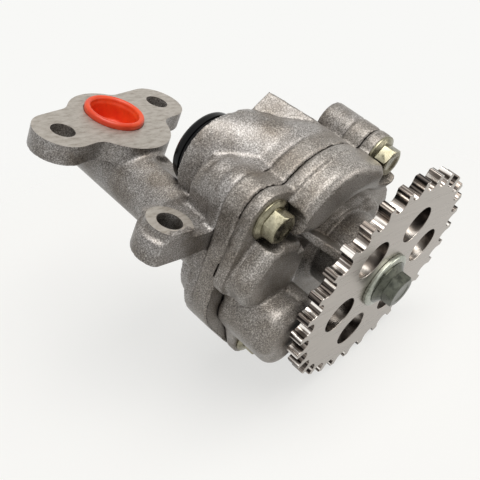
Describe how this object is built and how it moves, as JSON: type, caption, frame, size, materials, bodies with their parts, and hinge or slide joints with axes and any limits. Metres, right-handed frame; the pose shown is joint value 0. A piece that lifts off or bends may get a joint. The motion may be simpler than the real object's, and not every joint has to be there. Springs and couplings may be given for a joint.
{
  "type": "engine oil pump",
  "caption": "Chain-driven external gear oil pump: die-cast housing and cover, flat sprocket, bolted outlet flange, bracket boss, relief valve.",
  "frame": {"origin": "centre of the outlet port on the mounting face, midway between the two flange bolt holes", "axes": "+Z out of the mounting face, into the engine block; -Y along the drive axis toward the chain sprocket; +X from the outlet duct toward the drive axis"},
  "size_m": [0.1411, 0.1319, 0.0973],
  "materials": {
    "die_cast": "die-cast and bead-blasted, machined on its faces",
    "gear_steel": "sintered steel, ground faces",
    "sprocket_steel": "stamped and hardened steel, oiled",
    "shaft_steel": "ground steel",
    "zinc_steel": "zinc-plated steel, yellow passivated",
    "bearing_bronze": "bearing bronze",
    "spring_steel": "drawn spring wire",
    "copper": "annealed copper",
    "orange_plastic": "soft orange polyethylene",
    "black_plastic": "glossy black plastic"
  },
  "bodies": {
    "housing": {"rear_housing": "die_cast", "centre_body": "die_cast", "front_cover": "die_cast", "ring_dowels": "shaft_steel", "cover_bolts": "zinc_steel", "front_bush": "bearing_bronze", "rear_bush": "bearing_bronze", "idler_shaft": "shaft_steel", "relief_plug": "zinc_steel", "relief_washer": "copper", "relief_spring": "spring_steel"},
    "drive_train": {"drive_shaft": "shaft_steel", "gear_key": "shaft_steel", "drive_gear": "gear_steel", "sprocket": "sprocket_steel", "sprocket_washer": "zinc_steel", "sprocket_bolt": "zinc_steel"},
    "idler": {"idler_gear": "gear_steel", "idler_bush": "bearing_bronze"},
    "piston": {"relief_piston": "shaft_steel"},
    "outlet_plug": {"outlet_plug": "orange_plastic"},
    "suction_cap": {"suction_cap": "black_plastic"}
  },
  "joints": [
    {"name": "drive_spin", "type": "hinge", "parent": "housing", "child": "drive_train", "pos_m": [0.0545, -0.086, -0.0155], "axis": [0, 1, 0], "continuous": true},
    {"name": "idler_spin", "type": "hinge", "parent": "housing", "child": "idler", "pos_m": [0.02086, -0.068, -0.02515], "axis": [0, 1, 0], "continuous": true},
    {"name": "relief_slide", "type": "slide", "parent": "housing", "child": "piston", "axis": [0, 1, 0], "range_m": [0, 0.005], "stiffness_N_per_m": 2500, "springref_m": -0.005, "deforming": ["relief_spring"]},
    {"name": "outlet_plug_pull", "type": "slide", "parent": "housing", "child": "outlet_plug", "axis": [0, 0, 1], "range_m": [0, 0.012]},
    {"name": "suction_cap_pull", "type": "slide", "parent": "housing", "child": "suction_cap", "axis": [0, 1, 0], "range_m": [0, 0.01]}
  ],
  "couplings": [
    {"joint": "idler_spin", "follows": "drive_spin", "ratio": -1}
  ]
}
